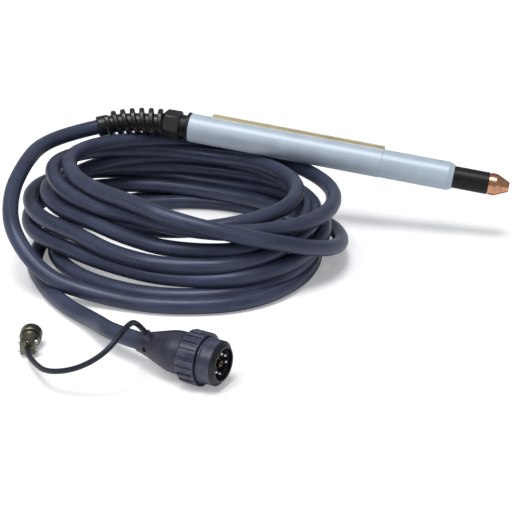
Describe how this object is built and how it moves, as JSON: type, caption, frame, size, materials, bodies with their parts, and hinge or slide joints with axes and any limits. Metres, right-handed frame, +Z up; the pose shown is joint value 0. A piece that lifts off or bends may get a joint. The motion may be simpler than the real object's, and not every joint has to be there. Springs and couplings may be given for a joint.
{
  "type": "machine plasma torch",
  "caption": "Straight tube plasma cutting torch for a machine holder, with gear rack, bend relief, coiled lead and quick connector.",
  "frame": {"origin": "on the torch axis, in the middle of the band of the front tube that a holder grips", "axes": "+X along the torch towards its tip, which dips 6.6 degrees below the horizontal as the torch lies on its coil; +Z up; the floor is 80 mm below the origin"},
  "size_m": [0.5882, 0.5184, 0.1351],
  "materials": {
    "bare_tube": "fine satin finish",
    "rack_metal": "pale, cut teeth",
    "steel": "machined",
    "brass": "machined",
    "copper": "turned and polished copper",
    "black_moulding": "fine satin moulding",
    "connector_plastic": "satin dark blue black moulding",
    "insert_black": "matt",
    "relief_rubber": "smooth flexible moulding",
    "lead_jacket": "slate blue, slightly wrinkled and glossy",
    "cable_jacket": "dark blue black",
    "seal_rubber": "matt",
    "plated_shell": "dull olive nickel plate",
    "contact_silver": "bright plated"
  },
  "bodies": {
    "torch": {"positioning_sleeve": "bare_tube", "mounting_tube": "bare_tube", "gear_rack": "rack_metal", "rack_screws": "steel", "torch_body": "brass", "body_oring": "seal_rubber", "electrode": "copper", "start_cartridge": "brass", "tip": "copper", "power_tube": "copper", "pilot_wire": "cable_jacket", "rear_cap": "black_moulding", "gland_seal": "seal_rubber", "relief_nut": "relief_rubber", "lead_coil": "lead_jacket", "lead_gland_run": "lead_jacket", "lead_connector_run": "lead_jacket", "control_cable": "cable_jacket", "connector_boot": "connector_plastic", "boot_screws": "steel", "connector_barrel": "connector_plastic", "connector_insert": "insert_black", "contact_pins": "contact_silver", "centre_contact": "brass", "face_seal": "seal_rubber", "plug_clamp_saddles": "plated_shell", "plug_clamp_screws": "steel", "plug_backshell": "plated_shell", "plug_shell": "plated_shell", "plug_insert": "insert_black", "plug_contacts": "contact_silver"},
    "lock_ring": {"connector_lock_ring": "connector_plastic"},
    "plug_ring": {"plug_coupling_ring": "plated_shell"},
    "cup": {"shield_cup": "black_moulding"},
    "cap": {"shield_cap": "copper"}
  },
  "joints": [
    {"name": "lock_ring_turn", "type": "hinge", "parent": "torch", "child": "lock_ring", "pos_m": [-0.16631, -0.4323, -0.0529], "axis": [0.9568, -0.2907, 0], "continuous": true},
    {"name": "plug_ring_turn", "type": "hinge", "parent": "torch", "child": "plug_ring", "pos_m": [-0.35252, -0.39736, -0.0685], "axis": [-0.2419, 0.9703, 0], "continuous": true},
    {"name": "cup_off", "type": "slide", "parent": "torch", "child": "cup", "axis": [0.9933, 0, -0.1153], "range_m": [0, 0.06]},
    {"name": "cap_off", "type": "slide", "parent": "cup", "child": "cap", "axis": [0.9933, 0, -0.1153], "range_m": [0, 0.03]}
  ]
}
